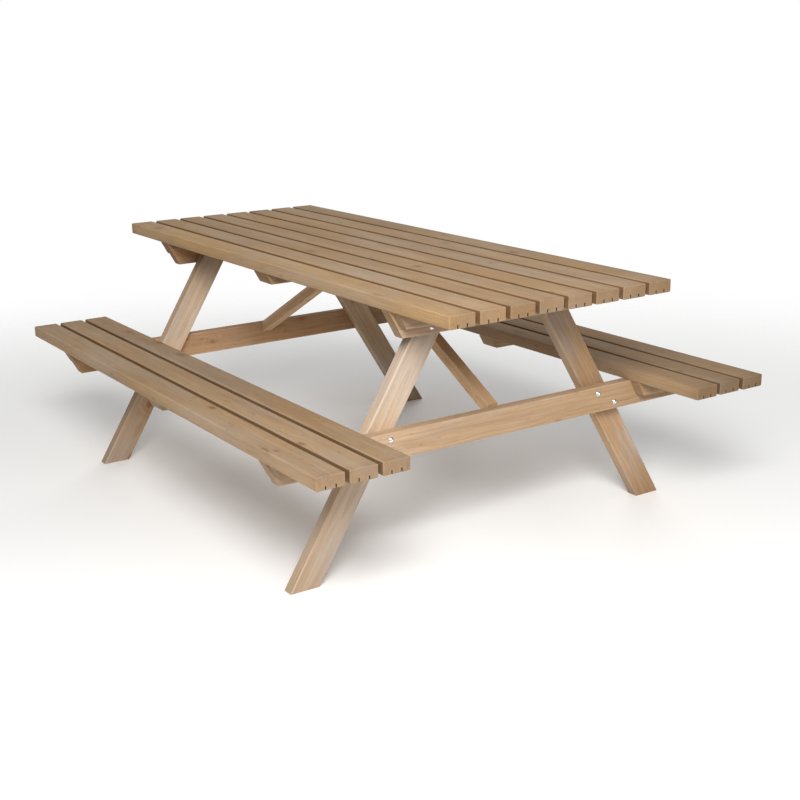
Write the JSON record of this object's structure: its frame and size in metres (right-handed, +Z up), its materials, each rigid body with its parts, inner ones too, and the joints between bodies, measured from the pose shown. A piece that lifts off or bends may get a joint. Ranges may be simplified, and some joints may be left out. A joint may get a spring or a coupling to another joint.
{
  "type": "picnic table",
  "caption": "Wooden picnic table with two attached benches on A-frame legs joined by domed coach screws, made from slatted softwood boards.",
  "frame": {"origin": "on the ground, under the middle of the table", "axes": "+X along the boards towards the front end, +Y across the table towards the right bench, +Z up"},
  "size_m": [1.896, 1.5, 0.75],
  "materials": {
    "top_timber": "bare, lightly weathered",
    "bench_timber": "bare, lightly weathered",
    "leg_timber": "bare, planed",
    "beam_timber": "bare, planed",
    "batten_timber": "bare, planed",
    "brace_timber": "bare, planed",
    "coach_zinc": "zinc plated",
    "screw_zinc": "zinc plated"
  },
  "bodies": {
    "root": {"top_board_1": "top_timber", "top_board_2": "top_timber", "top_board_3": "top_timber", "top_board_4": "top_timber", "top_board_5": "top_timber", "top_board_6": "top_timber", "top_board_7": "top_timber", "top_board_8": "top_timber", "left_bench_board_1": "bench_timber", "left_bench_board_2": "bench_timber", "left_bench_board_3": "bench_timber", "right_bench_board_1": "bench_timber", "right_bench_board_2": "bench_timber", "right_bench_board_3": "bench_timber", "front_left_leg": "leg_timber", "front_right_leg": "leg_timber", "rear_left_leg": "leg_timber", "rear_right_leg": "leg_timber", "front_crossbeam": "beam_timber", "rear_crossbeam": "beam_timber", "front_top_bearer": "beam_timber", "rear_top_bearer": "beam_timber", "front_top_batten": "batten_timber", "rear_top_batten": "batten_timber", "centre_top_batten": "batten_timber", "front_left_bench_batten": "batten_timber", "front_right_bench_batten": "batten_timber", "rear_left_bench_batten": "batten_timber", "rear_right_bench_batten": "batten_timber", "left_centre_bench_batten": "batten_timber", "right_centre_bench_batten": "batten_timber", "front_brace": "brace_timber", "rear_brace": "brace_timber", "crossbeam_coach_screws": "coach_zinc", "bearer_coach_screws": "coach_zinc", "top_end_screws": "screw_zinc", "top_centre_screws": "screw_zinc", "bench_end_screws": "screw_zinc", "bench_centre_screws": "screw_zinc", "top_batten_screws": "screw_zinc", "bench_batten_screws": "screw_zinc", "brace_screws": "screw_zinc"}
  },
  "joints": []
}
